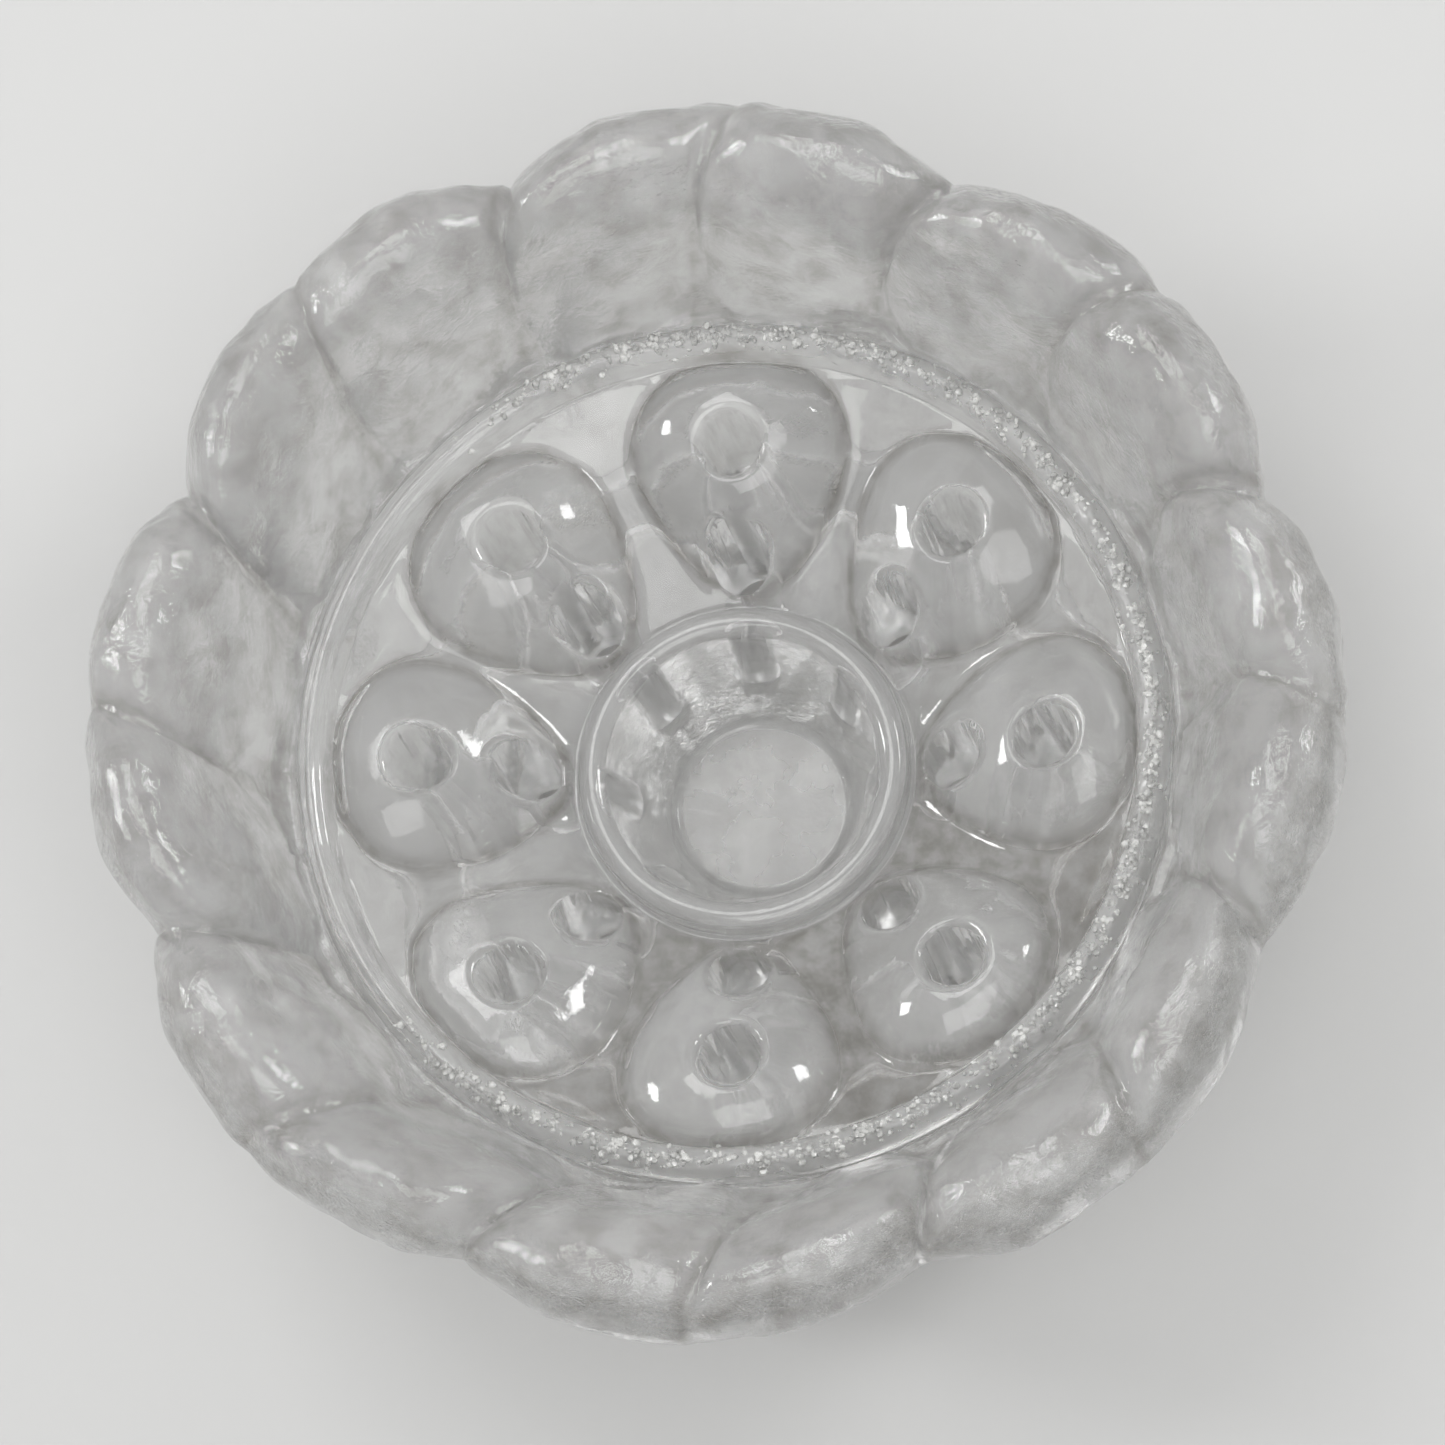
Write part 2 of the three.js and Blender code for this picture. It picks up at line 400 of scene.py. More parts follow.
def foot_rows():
    """Profile (r, z) from the petals' root underneath, round the foot ring and in to the axis."""
    round_foot = 1.2 * MM
    hollow = 1.6 * MM
    return np.concatenate(
        [
            line((PETAL_INNER - 0.6 * MM, UNDERSIDE), (FOOT_OUTER + 0.7 * MM, UNDERSIDE), 3),
            arc(FOOT_OUTER + 0.7 * MM, UNDERSIDE - 0.7 * MM, 0.7 * MM, 0.7 * MM, 90, 180, 3),
            arc(FOOT_OUTER - round_foot, round_foot, round_foot, round_foot, 360, 270, 4),
            line((FOOT_OUTER - 1.6 * MM, 0), (FOOT_INNER + round_foot, 0), 3),
            arc(FOOT_INNER + round_foot, round_foot, round_foot, round_foot, 270, 180, 4),
            arc(FOOT_INNER - hollow, UNDERSIDE - hollow, hollow, hollow, 0, 90, 4),
            line((FOOT_INNER - hollow - 0.5 * MM, UNDERSIDE), (0.6 * MM, UNDERSIDE), 14),
        ]
    )


def turned_rows(profile, angles, offset=0.0):
    """A profile (r, z) carried round the axis at every column's angle, as rows of points."""
    turned = angles[None, :] + offset
    r, z = profile[:, 0][:, None], profile[:, 1][:, None]
    height = np.broadcast_to(z, (len(profile), len(angles)))
    return np.stack([r * np.cos(turned), r * np.sin(turned), height], -1)


def well_rows(angles, count=66):
    """The well's floor with its pods, as a height over evenly spaced circles."""
    radius = np.linspace(CUP_RADIUS + 0.35 * MM, RING_INNER - 0.1 * MM, count)[:, None]
    x, y = radius * np.cos(angles), radius * np.sin(angles)
    lift, mouth = pod_lift(x, y)
    # The pods' outer ends run up against the ring, and the inner ends stop at the cup.
    inner_edge = smoothstep(0, 0.8 * MM, radius - CUP_RADIUS - 0.2 * MM)
    outer_edge = smoothstep(0, 0.9 * MM, RING_INNER - radius)
    z = well_floor(radius) + lift * (inner_edge * outer_edge) - mouth_drop(mouth)
    return np.stack([x, y, z], -1)


def rough_share(angle):
    """1 where the ring is granular, 0 on the stretch where it came smooth out of the mould."""
    smooth_middle, half_width = math.radians(172), math.radians(52)
    away = np.abs((angle - smooth_middle + math.pi) % (2 * math.pi) - math.pi)
    return smoothstep(half_width - 0.25, half_width + 0.3, away)


def ring_rows(angles, count=15):
    """The bead of the ring: half an ellipse in section, granular on most of its length, and drawn into
    fine parallel grooves on the smooth stretch."""
    middle, half = (RING_INNER + RING_OUTER) / 2, (RING_OUTER - RING_INNER) / 2
    profile = arc(middle, WELL_AT_RING, half, RING_TOP - WELL_AT_RING - 0.3 * MM, 180, 0, count)
    lean = PETAL_LEAN * LEAN_STILL * np.linspace(0, 1, count)[:, None]
    turned = angles[None, :] + lean
    r, z = profile[:, 0][:, None], profile[:, 1][:, None]
    points = np.stack([r * np.cos(turned), r * np.sin(turned), z + 0 * turned], -1)
    rough = rough_share(turned)
    grain = 0.26 * MM * swells(points, 1.5 * MM, 20) + 0.14 * MM * swells(points, 0.9 * MM, 21)
    groove = 0.28 * MM * np.cos(2 * math.pi * (r - middle) / (1.15 * MM))
    arch = np.sin(np.linspace(0, math.pi, count))[:, None]
    points[..., 2] += arch * (rough * grain + (1 - rough) * (groove - 0.3 * MM) - 0.2 * MM)
    return points


def petal_rows(angles, count=52):
    """The petals' upper side, from the ring to the lip. Every column of points follows the lean, so the
    creases run along columns."""
    out = np.sin(math.pi / 2 * np.linspace(0, 1, count)[1:])[:, None]
    across = 2 * ((angles / SECTOR + 0.5) % 1) - 1
    turned = angles[None, :] + PETAL_LEAN * (LEAN_STILL - out)
    radius = PETAL_INNER + (petal_outline(across) - PETAL_INNER) * out
    z = lobe_height(out, across[None, :])
    return np.stack([radius * np.cos(turned), radius * np.sin(turned), z], -1)


def side_rows(angles, count=28):
    """The lip and the outside of the petals, down to the foot: a rounded edge, then the bowl's curve."""
    s = sizes()
    across = 2 * ((angles / SECTOR + 0.5) % 1) - 1
    outline, lip = petal_outline(across), lobe_height(np.ones(1), across[None, :])[0]
    edge = np.linspace(0, 1, 7)[1:-1, None]
    bulge = np.sin(math.pi * edge)
    rim_r = outline - 0.25 * MM + 0.25 * MM * bulge - 0.35 * MM * edge
    rim_z = lip - s.lip_thickness * edge
    out = np.linspace(1, 0, count)[:, None]
    low = lip - s.lip_thickness
    side_r = PETAL_INNER + (outline - 0.6 * MM - PETAL_INNER) * out
    side_z = UNDERSIDE + (low - UNDERSIDE) * out**1.7
    # The outside is fluted: each petal swells, and the crease between two petals shows as a groove.
    flute = 1.1 * MM * np.clip(np.abs(across), 0, 1) ** 5 * np.sin(math.pi * np.clip(out, 0, 1))
    radius = np.concatenate([rim_r, side_r - flute])
    z = np.concatenate([rim_z + 0 * radius[: len(edge)], side_z + 0 * side_r])
    lean = np.concatenate([np.ones_like(edge), out])
    turned = angles[None, :] + PETAL_LEAN * (LEAN_STILL - lean)
    return np.stack([radius * np.cos(turned), radius * np.sin(turned), z], -1)


def grid_normals(points):
    """Unit normals of rows of points, from the differences along the rows and the columns."""
    along = np.gradient(points, axis=0)
    round_axis = np.roll(points, -1, axis=1) - np.roll(points, 1, axis=1)
    normal = np.cross(along, round_axis)
    return normal / np.maximum(np.linalg.norm(normal, axis=-1, keepdims=True), 1e-12)


def casting_rows():
    """Every row of the skin, with the slow swells and the small dents added along the normals."""
    s = sizes()
    angles = np.linspace(0, 2 * math.pi, COLUMNS, endpoint=False)
    still = PETAL_LEAN * LEAN_STILL
    cup = turned_rows(cup_rows(), angles)
    well = well_rows(angles)
    ring = ring_rows(angles)
    petals = petal_rows(angles)
    side = side_rows(angles)
    foot = turned_rows(foot_rows(), angles, still)
    blocks = [cup, well, ring, petals, side, foot]
    # How much each block swells and how much it is dented.
    swelling = np.repeat([0.25, 0.45, 0.2, 1.0, 0.8, 0.5], [len(b) for b in blocks])
    dents = np.repeat([0.0, 0.25, 0.3, 1.0, 1.0, 1.0], [len(b) for b in blocks])
    points = np.concatenate(blocks)
    foot_start = len(points) - len(foot)
    standing = points[foot_start:, :, 2] < 0.6 * UNDERSIDE
    height = s.waviness * swelling[:, None] * swells(points, 13 * MM, 2)
    height += s.hammering * dents[:, None] * (swells(points, 5 * MM, 3) + 0.25 * swells(points, 2.6 * MM, 4))
    height[foot_start:][standing] = 0
    centre = np.hypot(points[..., 0], points[..., 1])
    height *= smoothstep(0, 2 * MM, centre)
    points += grid_normals(points) * height[..., None]
    low, high = CAD_BOX
    points[..., 2] = np.clip(points[..., 2], low.z, high.z)
    reach = np.hypot(points[..., 0], points[..., 1])
    # The casting came out of its mould a little flat on one side.
    from_flat_side = np.arctan2(points[..., 1], points[..., 0]) - FLAT_SIDE
    flatness = s.flattening * np.clip(np.cos(from_flat_side), 0, 1) ** 6
    flatness = flatness * smoothstep(RING_OUTER, PETAL_REACH, reach)
    limit = np.minimum(1, 0.9995 * PETAL_REACH / np.maximum(reach, 1e-9))
    points[..., :2] *= (limit * (1 - flatness))[..., None]
    return points


# ---- Mesh helpers ----
def mesh_object(name, vertices, faces):
    """A mesh object at the origin from an array of points and a list of index tuples."""
    mesh = bpy.data.meshes.new(name)
    mesh.from_pydata([tuple(v) for v in vertices], [], faces)
    mesh.update()
    mesh.validate()
    obj = bpy.data.objects.new(name, mesh)
    bpy.context.scene.collection.objects.link(obj)
    return obj


def skin_object(name, points):
    """A closed skin from rows of points round an axis: quads between rows and a fan at each pole."""
    rows, columns = points.shape[:2]
    index = np.arange(rows * columns).reshape(rows, columns)
    here, turned = index, np.roll(index, -1, axis=1)
    quads = np.stack([here[:-1], here[1:], turned[1:], turned[:-1]], -1).reshape(-1, 4)
    top, bottom = rows * columns, rows * columns + 1
    first = np.stack([np.full(columns, top), here[0], turned[0]], -1)
    last = np.stack([np.full(columns, bottom), turned[-1], here[-1]], -1)
    poles = np.array([[0, 0, points[0, :, 2].mean()], [0, 0, points[-1, :, 2].mean()]])
    vertices = np.concatenate([points.reshape(-1, 3), poles])
    return mesh_object(name, vertices, quads.tolist() + first.tolist() + last.tolist())


def turned_solid(profile, centre, segments):
    """Points and faces of a closed solid turned about a vertical axis, with a flat cap at each end."""
    angles = np.linspace(0, 2 * math.pi, segments, endpoint=False)
    r, z = profile[:, 0][:, None], profile[:, 1][:, None]
    points = np.stack([centre[0] + r * np.cos(angles), centre[1] + r * np.sin(angles), z + 0 * angles], -1)
    rows = len(profile)
    index = np.arange(rows * segments).reshape(rows, segments)
    turned = np.roll(index, -1, axis=1)
    quads = np.stack([index[:-1], turned[:-1], turned[1:], index[1:]], -1).reshape(-1, 4)
    caps = [index[0][::-1].tolist(), index[-1].tolist()]
    return points.reshape(-1, 3), quads.tolist() + caps


def stem_hole_cutter():
    """All the stem holes as one mesh of posts, each flared where it meets the flat underside."""
    flare = 0.9 * MM
    low = arc(STEM_HOLE_RADIUS + flare, UNDERSIDE + flare, flare, flare, 265, 180, 5)
    profile = np.concatenate(
        [
            [[low[0, 0] + 0.4 * MM, -2 * MM], [low[0, 0] + 0.4 * MM, UNDERSIDE - 0.3 * MM]],
            low,
            [[STEM_HOLE_RADIUS, RING_TOP + 8 * MM]],
        ]
    )
    vertices, faces = [], []
    for pod in range(PETALS):
        for circle in STEM_HOLE_CIRCLES:
            centre = (circle * math.cos(pod * SECTOR), circle * math.sin(pod * SECTOR))
            post, post_faces = turned_solid(profile, centre, 40)
            start = len(vertices)
            vertices.extend(post.tolist())
            faces.extend([[start + i for i in face] for face in post_faces])
    return mesh_object("stem_hole_cutter", vertices, faces)


def apply_modifiers(obj):
    """Replaces the object's mesh by what its modifiers make of it, and removes the modifiers."""
    depsgraph = bpy.context.evaluated_depsgraph_get()
    made = bpy.data.meshes.new_from_object(obj.evaluated_get(depsgraph))
    obj.modifiers.clear()
    old = obj.data
    obj.data = made
    bpy.data.meshes.remove(old)


def clean_seams(mesh):
    """Tidies the faces that a cut leaves, so that no two can fold onto each other: points in the middle of
    an edge go, slivers are closed up, and faces with more than four corners become triangles."""
    sliver = 0.004 * MM
    work = bmesh.new()
    work.from_mesh(mesh)
    bmesh.ops.dissolve_degenerate(work, dist=sliver, edges=work.edges)
    bmesh.ops.dissolve_verts(work, verts=[v for v in work.verts if len(v.link_edges) == 2])
    many_sided = [face for face in work.faces if len(face.verts) > 4]
    bmesh.ops.triangulate(work, faces=many_sided, quad_method="BEAUTY", ngon_method="BEAUTY")
    bmesh.ops.dissolve_degenerate(work, dist=sliver, edges=work.edges)
    work.to_mesh(mesh)
    work.free()


def cut_stem_holes(casting):
    cutter = stem_hole_cutter()
    cut = casting.modifiers.new("stem holes", "BOOLEAN")
    cut.operation = "DIFFERENCE"
    cut.solver = "MANIFOLD"
    cut.object = cutter
    before = len(casting.data.vertices)
    apply_modifiers(casting)
    bpy.data.objects.remove(cutter)
    if len(casting.data.vertices) == before:
        raise RuntimeError("the stem holes were not cut")
    clean_seams(casting.data)


def vertex_array(mesh):
    co = np.empty(len(mesh.vertices) * 3)
    mesh.vertices.foreach_get("co", co)
    return co.reshape(-1, 3)


def shade_smooth(obj):
    obj.data.polygons.foreach_set("use_smooth", np.ones(len(obj.data.polygons), bool))


def paint(mesh, name, values):
    """Stores one number per vertex under a name that the material reads."""
    layer = mesh.attributes.new(name, "FLOAT", "POINT")
    layer.data.foreach_set("value", values.astype(np.float32))


# ---- Materials ----
GLASS_IOR = 1.5
CLEARNESS = 0.86  # the share of light that passes through; the rest scatters off the cloudy skin
GRAIN_CLEARNESS = 0.4


class Shader:
    """A material's node tree, with short helpers for adding nodes and links."""

    def __init__(self, name):
        self.material = bpy.data.materials.new(name)
        self.material.use_nodes = True
        self.tree = self.material.node_tree
        self.tree.nodes.clear()
        self.output = self.node("ShaderNodeOutputMaterial")
        self.surface = self.node("ShaderNodeBsdfPrincipled")
        self.link(self.surface, "BSDF", self.output, "Surface")

    def node(self, kind, **values):
        made = self.tree.nodes.new(kind)
        for key, value in values.items():
            setattr(made, key, value)
        return made

    def link(self, source, output, target, socket):
        self.tree.links.new(source.outputs[output], target.inputs[socket])

    def place(self):
        return self.node("ShaderNodeTexCoord")

    def noise(self, scale, detail=2.0, roughness=0.5, distortion=0.0):
        made = self.node("ShaderNodeTexNoise")
        made.inputs["Scale"].default_value = scale
        made.inputs["Detail"].default_value = detail
        made.inputs["Roughness"].default_value = roughness
        made.inputs["Distortion"].default_value = distortion
        self.link(self.place(), "Object", made, "Vector")
        return made

    def attribute(self, name):
        return self.node("ShaderNodeAttribute", attribute_name=name)

    def spread(self, source, output, low, high, to_low, to_high):
        made = self.node("ShaderNodeMapRange")
        for socket, value in zip(
            ("From Min", "From Max", "To Min", "To Max"), (low, high, to_low, to_high)
        ):
            made.inputs[socket].default_value = value
        self.link(source, output, made, "Value")
        return made

    def maths(self, operation, first, second):
        """A Math node. Each operand is a number or a pair of a node and its output's name."""
        made = self.node("ShaderNodeMath", operation=operation)
        for socket, operand in enumerate((first, second)):
            if isinstance(operand, tuple):
                self.tree.links.new(operand[0].outputs[operand[1]], made.inputs[socket])
            else:
                made.inputs[socket].default_value = operand
        return made


def cast_glass():
    """Old glass, a little cloudy, with a faint grey tint that grows with depth.

    Its skin is fire-polished on the pods and the cup, and finely pitted and mottled on the petals. The foot
    is ground flat below, and old water has left a film in the recesses. The same dark colour is painted
    along the creases between the lobes and round the pods' edges as painted shade.
    """
    f = finish()
    s = Shader("cast_glass")
    surface = s.surface.inputs
    surface["Transmission Weight"].default_value = CLEARNESS
    surface["IOR"].default_value = GLASS_IOR
    # This mask darkens the base colour: residue film in the well and on the cup floor, and painted shade
    # along the lobes' creases and the pods' edges.
    residue_and_shade_mask = s.attribute("residue_and_crease_shade")
    residue_and_shade_breakup = s.noise(420, 4, 0.6)
    residue_and_shade_amount = s.maths("MULTIPLY", (residue_and_shade_mask, "Fac"), (s.spread(residue_and_shade_breakup, "Fac", 0.35, 0.65, 0.35, 1.0), "Result"))
    pitted = s.attribute("pitted")
    patches = s.spread(s.noise(230, 5, 0.68, 0.3), "Fac", 0.44, 0.67, 0.03, 0.7)
    mottle = s.maths("MULTIPLY", (patches, "Result"), (pitted, "Fac"))
    share = s.maths("MAXIMUM", (residue_and_shade_amount, "Value"), (mottle, "Value"))
    colour = s.node("ShaderNodeMix", data_type="RGBA")
    colour.inputs["A"].default_value = (0.935, 0.935, 0.93, 1)
    colour.inputs["B"].default_value = (*f.residue_and_crease_shade, 1)
    s.link(share, "Value", colour, "Factor")
    s.link(colour, "Result", s.surface, "Base Color")
    ground = s.attribute("ground")
    matt = s.spread(ground, "Fac", 0, 1, 0.02, 0.42)
    cloudy = s.spread(s.noise(160, 3, 0.55), "Fac", 0.4, 0.75, 0.0, 0.09)
    roughness = s.maths("ADD", (matt, "Result"), (cloudy, "Result"))
    s.link(roughness, "Value", s.surface, "Roughness")
    fine = s.maths("MULTIPLY", (s.noise(1900, 3, 0.6), "Fac"), (pitted, "Fac"))
    coarse = s.maths("MULTIPLY", (s.noise(560, 3, 0.55, 0.4), "Fac"), (pitted, "Fac"))
    both = s.maths("ADD", (fine, "Value"), (s.maths("MULTIPLY", (coarse, "Value"), 2.2), "Value"))
    bump = s.node("ShaderNodeBump")
    bump.inputs["Strength"].default_value = 0.6
    bump.inputs["Distance"].default_value = 0.12 * MM
    s.link(both, "Value", bump, "Height")
    s.link(bump, "Normal", s.surface, "Normal")
    tint = s.node("ShaderNodeVolumeAbsorption")
    tint.inputs["Color"].default_value = (*f.glass_tint, 1)
    tint.inputs["Density"].default_value = f.tint_density
    s.link(tint, "Volume", s.output, "Volume")
    return s.material


def grain_glass():
    """Crushed glass: whitish, cloudy and rough, with each grain a little different."""
    f = finish()
    s = Shader("grain_glass")
    surface = s.surface.inputs
    surface["Transmission Weight"].default_value = GRAIN_CLEARNESS
    surface["IOR"].default_value = GLASS_IOR
    shade = s.node("ShaderNodeMix", data_type="RGBA")
    shade.inputs["A"].default_value = (*(0.62 * c for c in f.grain), 1)
    shade.inputs["B"].default_value = (*f.grain, 1)
    s.link(s.spread(s.noise(700, 2), "Fac", 0.38, 0.62, 0, 1), "Result", shade, "Factor")
    s.link(shade, "Result", s.surface, "Base Color")
    s.link(s.spread(s.noise(1500, 2), "Fac", 0.3, 0.7, 0.12, 0.4), "Result", s.surface, "Roughness")
    bump = s.node("ShaderNodeBump")
    bump.inputs["Strength"].default_value = 0.4
    bump.inputs["Distance"].default_value = 0.05 * MM
    s.link(s.noise(4000, 2), "Fac", bump, "Height")
    s.link(bump, "Normal", s.surface, "Normal")
    return s.material


def floor_paper():
    """Plain white paper with a barely visible mottle."""
    f = finish()
    s = Shader("floor_paper")
    s.surface.inputs["Roughness"].default_value = 0.9
    s.surface.inputs["Specular IOR Level"].default_value = 0.1
    shade = s.node("ShaderNodeMix", data_type="RGBA")
    shade.inputs["A"].default_value = (*(0.98 * c for c in f.floor), 1)
    shade.inputs["B"].default_value = (*f.floor, 1)
    s.link(s.noise(12, 3), "Fac", shade, "Factor")
    s.link(shade, "Result", s.surface, "Base Color")
    return s.material


# ---- Pieces ----
def crease_share(radius, angle):
    """1 along the creases between the lobes, falling to 0 over about a twelfth of a lobe on either side."""
    out = np.clip((radius - PETAL_INNER) / (0.97 * PETAL_REACH - PETAL_INNER), 0, 1)
    straight = angle - PETAL_LEAN * (LEAN_STILL - out)
    across = 2 * ((straight / SECTOR + 0.5) % 1) - 1
    from_crease = 1 - np.abs(2 * np.abs(across) - 1)
    return np.exp(-((from_crease / 0.085) ** 2)) * smoothstep(RING_OUTER, PETAL_INNER + 1 * MM, radius)


def paint_casting(mesh):
    """Residue in the well between the pods and on the cup floor, painted shade along the creases between the
    lobes and round the pods' edges, the ground finish, and where the skin is pitted.
    """
    co = vertex_array(mesh)
    radius, angle = np.hypot(co[:, 0], co[:, 1]), np.arctan2(co[:, 1], co[:, 0])
    on_top = co[:, 2] > UNDERSIDE + 6 * MM
    in_well = smoothstep(CUP_RADIUS, CUP_RADIUS + 1 * MM, radius) * (radius < RING_INNER + 1 * MM)
    low = 1 - smoothstep(0.5 * MM, 3.5 * MM, co[:, 2] - well_floor(radius))
    side = 0.12 + 0.88 * smoothstep(-0.2, 0.9, np.cos(angle - math.radians(-60)))
    at_floor_height = (co[:, 2] < CUP_FLOOR + 1 * MM) * (co[:, 2] > UNDERSIDE + 1 * MM)
    cup_floor = (radius < CUP_FLOOR_RADIUS) * at_floor_height
    # Painted shade: the creases between the lobes and the edges of the pods get the residue colour, darkened
    # as shade would darken them.
    pod_edge_shade = np.exp(-((pod_share(co[:, 0], co[:, 1])[0] / 0.13) ** 2)) * in_well * on_top
    crease_shade = np.maximum(0.95 * pod_edge_shade, crease_share(radius, angle) * on_top)
    paint(mesh, "residue_and_crease_shade", np.maximum.reduce([in_well * low * side * on_top, 0.28 * cup_floor, crease_shade]))
    foot = (co[:, 2] < 0.4 * MM) * 1.0
    ring = smoothstep(RING_INNER, RING_INNER + 0.5 * MM, radius)
    ring *= 1 - smoothstep(RING_OUTER - 0.3 * MM, RING_OUTER + 0.3 * MM, radius)
    ring *= rough_share(angle) * (co[:, 2] > WELL_AT_RING + 0.5 * MM)
    paint(mesh, "ground", np.maximum.reduce([foot, 0.6 * ring, 0.6 * cup_floor]))
    petals = smoothstep(RING_OUTER - 1 * MM, RING_OUTER + 1 * MM, radius)
    underneath = (co[:, 2] < UNDERSIDE + 1 * MM) * 0.8
    paint(mesh, "pitted", np.maximum.reduce([petals, underneath, 0.35 * cup_floor, 0.12 + 0 * petals]))


def rounded_bead(segments=8, rings=5):
    """Points and faces of a unit ball: circles of latitude with a fan at each pole."""
    latitude = np.linspace(-math.pi / 2, math.pi / 2, rings + 2)[1:-1]
    longitude = np.linspace(0, 2 * math.pi, segments, endpoint=False)
    u, v = np.meshgrid(longitude, latitude)
    points = np.stack([np.cos(v) * np.cos(u), np.cos(v) * np.sin(u), np.sin(v)], -1).reshape(-1, 3)
    points = np.concatenate([points, [[0, 0, -1], [0, 0, 1]]])
    index = np.arange(rings * segments).reshape(rings, segments)
    turned = np.roll(index, -1, axis=1)
    bottom, top = rings * segments, rings * segments + 1
    quads = np.stack([index[:-1], turned[:-1], turned[1:], index[1:]], -1).reshape(-1, 4).tolist()
    quads += [[bottom, int(b), int(a)] for a, b in zip(index[0], turned[0])]
    quads += [[top, int(a), int(b)] for a, b in zip(index[-1], turned[-1])]
    return points, quads


class FROG_OT_casting(bpy.types.Operator):
    """Press the glass casting: one skin over petals, ring, pods, cup and foot, pierced by the stem holes"""

    bl_idname = "flower_frog.casting"
    bl_label = "Press the casting"

    def execute(self, context):
        casting = skin_object("glass_casting", casting_rows())
        cut_stem_holes(casting)
        shade_smooth(casting)
        paint_casting(casting.data)
        casting.data.materials.clear()
        casting.data.materials.append(cast_glass())
        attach(casting, BODY)
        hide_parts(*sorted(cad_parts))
        return {"FINISHED"}


class FROG_OT_ring_grains(bpy.types.Operator):
    """Fuse the glass grains to the rough stretch of the ring"""

    bl_idname = "flower_frog.ring_grains"
    bl_label = "Fuse the ring's grains"

    def execute(self, context):
        count = sizes().grain_count
        rng = np.random.default_rng(SEED + 30)
        middle, half = (RING_INNER + RING_OUTER) / 2, (RING_OUTER - RING_INNER) / 2
        angle = rng.uniform(0, 2 * math.pi, count * 2)
        angle = angle[rng.uniform(0, 1, count * 2) < rough_share(angle)][:count]
        across = rng.normal(0, 0.32, len(angle)).clip(-0.95, 0.95)
        radius = middle + half * across
        height = WELL_AT_RING + (RING_TOP - WELL_AT_RING - 0.3 * MM) * np.sqrt(1 - across**2) - 0.25 * MM
        size = rng.gamma(4.0, 0.075, len(angle)).clip(0.12, 0.46) * MM
        height = np.minimum(height, RING_TOP + 0.5 * MM - size)
        centre = np.stack([radius * np.cos(angle), radius * np.sin(angle), height], 1)
        ball, faces = rounded_bead(6, 3)
        lumpy = ball[None] * rng.uniform(0.7, 1.15, (len(angle), len(ball), 1))
        stretch = rng.uniform(0.75, 1.25, (len(angle), 1, 3))
        points = centre[:, None] + lumpy * stretch * size[:, None, None]
        all_faces = []
        for i in range(len(angle)):
            all_faces.extend([[i * len(ball) + v for v in face] for face in faces])
        grains = mesh_object("ring_grains", points.reshape(-1, 3), all_faces)
        grains.data.materials.append(grain_glass())
        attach(grains, BODY)
        return {"FINISHED"}


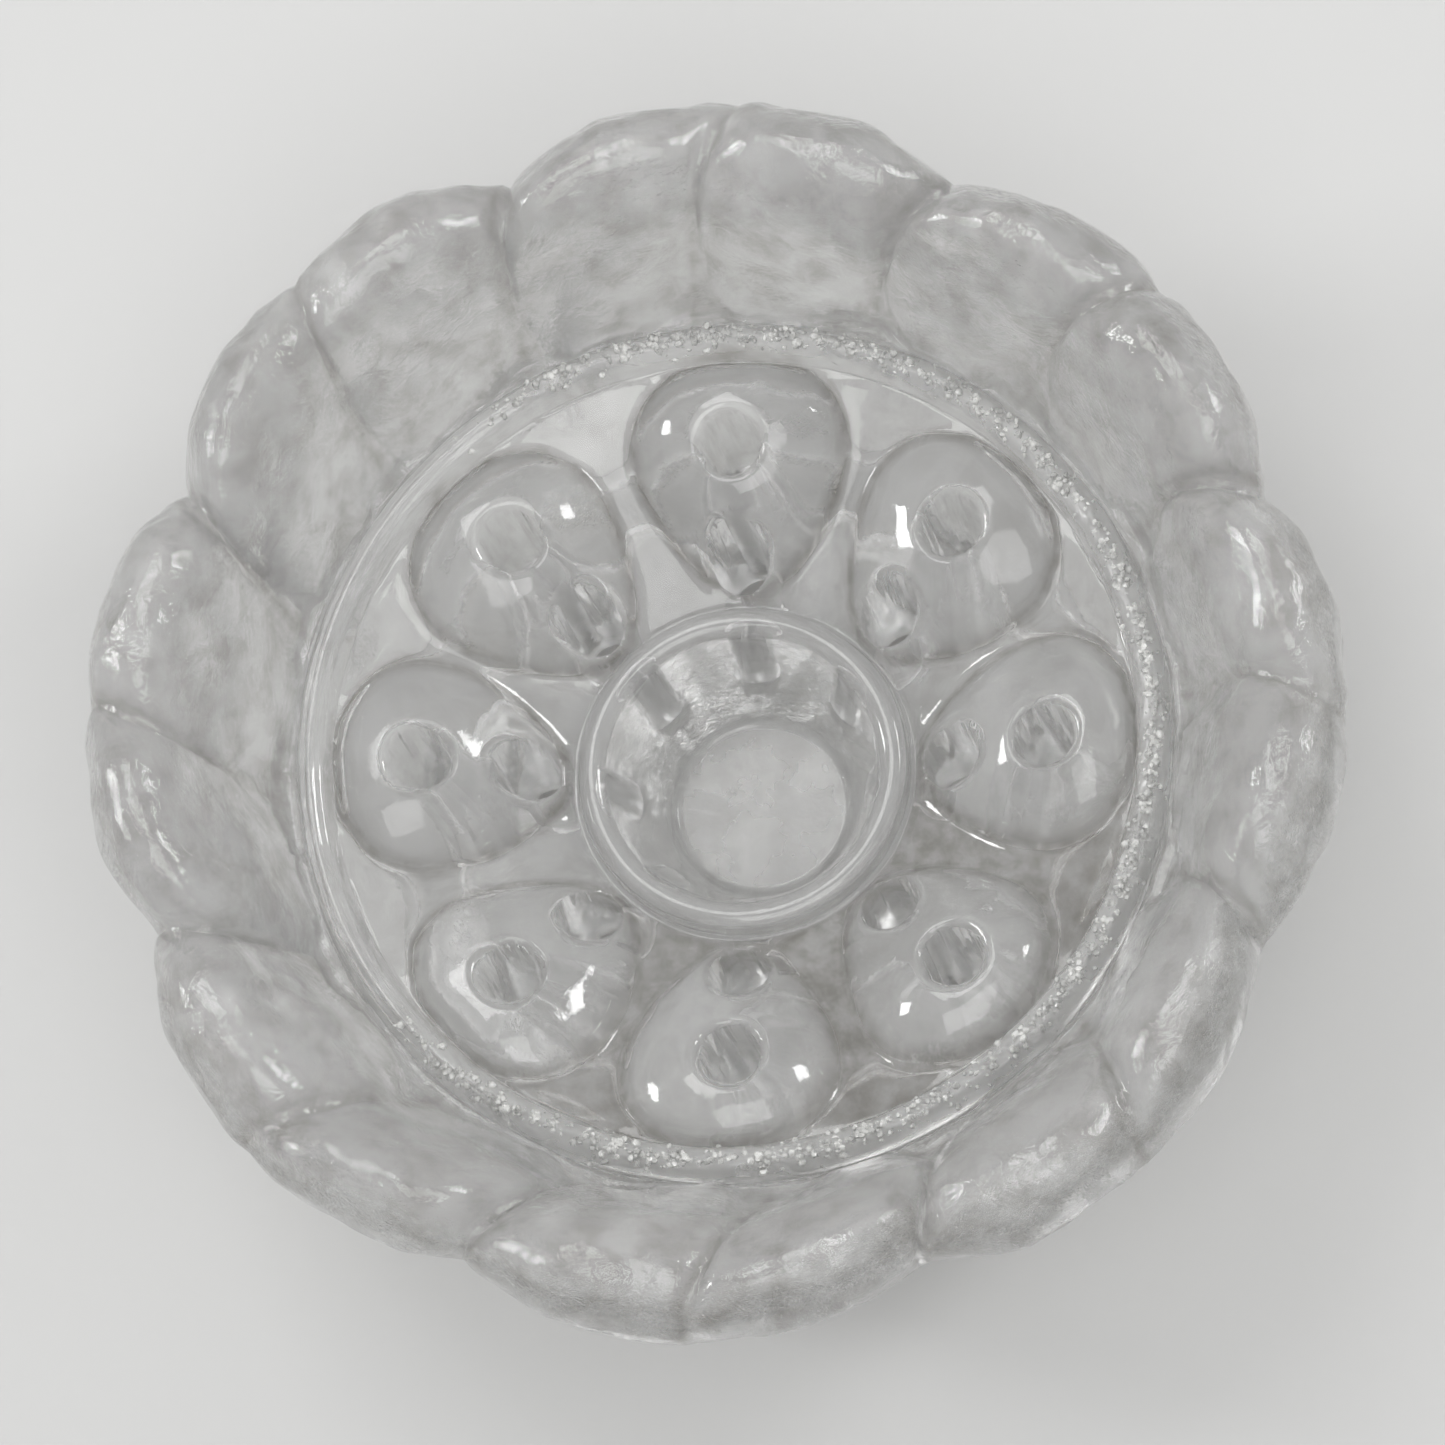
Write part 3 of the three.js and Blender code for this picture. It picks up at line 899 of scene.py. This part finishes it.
class FROG_OT_stage(bpy.types.Operator):
    """Set the pale floor, the soft light and the camera"""

    bl_idname = "flower_frog.stage"
    bl_label = "Set the stage"

    def execute(self, context):
        self.floor()
        self.world(context)
        self.lights()
        self.camera(context)
        context.scene.view_settings.view_transform = "Standard"
        context.scene.cycles.max_bounces = 32
        context.scene.cycles.transmission_bounces = 32
        return {"FINISHED"}

    def floor(self):
        half = 2.0
        level = -0.2 * MM
        corners = [(-half, -half, level), (half, -half, level), (half, half, level), (-half, half, level)]
        floor = mesh_object("floor", corners, [(0, 1, 2, 3)])
        floor.data.materials.append(floor_paper())

    def world(self, context):
        """A room that is pale overhead and greyer towards the horizon."""
        world = bpy.data.worlds.new("room")
        world.use_nodes = True
        tree = world.node_tree
        tree.nodes.clear()
        output = tree.nodes.new("ShaderNodeOutputWorld")
        glow = tree.nodes.new("ShaderNodeBackground")
        ramp = tree.nodes.new("ShaderNodeValToRGB")
        split = tree.nodes.new("ShaderNodeSeparateXYZ")
        place = tree.nodes.new("ShaderNodeTexCoord")
        tree.links.new(place.outputs["Generated"], split.inputs["Vector"])
        tree.links.new(split.outputs["Z"], ramp.inputs["Fac"])
        tree.links.new(ramp.outputs["Color"], glow.inputs["Color"])
        tree.links.new(glow.outputs["Background"], output.inputs["Surface"])
        ramp.color_ramp.elements[0].position = 0.0
        ramp.color_ramp.elements[0].color = (0.52, 0.52, 0.52, 1)
        ramp.color_ramp.elements[1].position = 0.9
        ramp.color_ramp.elements[1].color = (0.86, 0.86, 0.86, 1)
        context.scene.world = world

    def lights(self):
        """Soft boxes: large ones overhead and in front, and two smaller ones low on either side."""
        for name, place, size, watts in (
            ("overhead_box", (-0.25, 0.35, 1.1), 0.45, 3.0),
            ("left_box", (-0.9, 0.1, 0.55), 0.22, 3.2),
            ("right_box", (0.75, 0.35, 0.6), 0.22, 2.5),
            ("front_box", (0.15, -0.45, 1.1), 0.7, 4.6),
        ):
            lamp = bpy.data.lights.new(name, "AREA")
            lamp.shape = "SQUARE"
            lamp.size = size
            lamp.energy = watts
            obj = bpy.data.objects.new(name, lamp)
            bpy.context.scene.collection.objects.link(obj)
            obj.location = place
            obj.rotation_euler = (Vector((0, 0, 0.03)) - Vector(place)).to_track_quat("-Z", "Y").to_euler()

    def camera(self, context):
        """Almost overhead, a little to the front and right, with the far side of the frog at the top."""
        azimuth, elevation = math.radians(27.3), math.radians(73.2)
        distance = 0.891
        towards = Vector(
            (
                math.sin(azimuth) * math.cos(elevation),
                -math.cos(azimuth) * math.cos(elevation),
                math.sin(elevation),
            )
        )
        up = (Vector((0, 1, 0)) - towards * towards.y).normalized()
        right = up.cross(towards)
        centre = Vector((0, 0, 27 * MM)) + up * 3.8 * MM - right * 1.55 * MM
        data = bpy.data.cameras.new("camera")
        data.sensor_width = 36
        data.lens = 219.6
        data.clip_start = 0.01
        camera = bpy.data.objects.new("camera", data)
        context.scene.collection.objects.link(camera)
        axes = Matrix((right, up, towards)).transposed().to_4x4()
        camera.matrix_world = Matrix.Translation(centre + towards * distance) @ axes
        context.scene.camera = camera


STEPS = (FROG_OT_stage, FROG_OT_casting, FROG_OT_ring_grains)


class FROG_PT_panel(bpy.types.Panel):
    """The steps and the sizes, in the 3D view's sidebar"""

    bl_label = "Flower Frog"
    bl_idname = "FROG_PT_panel"
    bl_space_type = "VIEW_3D"
    bl_region_type = "UI"
    bl_category = "Flower Frog"

    def draw(self, context):
        layout = self.layout
        for group in (context.scene.frog_sizes, context.scene.frog_finish):
            box = layout.box()
            for name in group.bl_rna.properties.keys():
                if name not in ("rna_type", "name"):
                    box.prop(group, name)
        for step in STEPS:
            layout.operator(step.bl_idname)


CLASSES = (FrogSizes, FrogFinish, *STEPS, FROG_PT_panel)


def register():
    for cls in CLASSES:
        bpy.utils.register_class(cls)
    bpy.types.Scene.frog_sizes = PointerProperty(type=FrogSizes)
    bpy.types.Scene.frog_finish = PointerProperty(type=FrogFinish)


def unregister():
    del bpy.types.Scene.frog_finish
    del bpy.types.Scene.frog_sizes
    for cls in reversed(CLASSES):
        bpy.utils.unregister_class(cls)


def main():
    register()
    for step in STEPS:
        area, name = step.bl_idname.split(".")
        getattr(getattr(bpy.ops, area), name)()


if __name__ == "__main__":
    main()
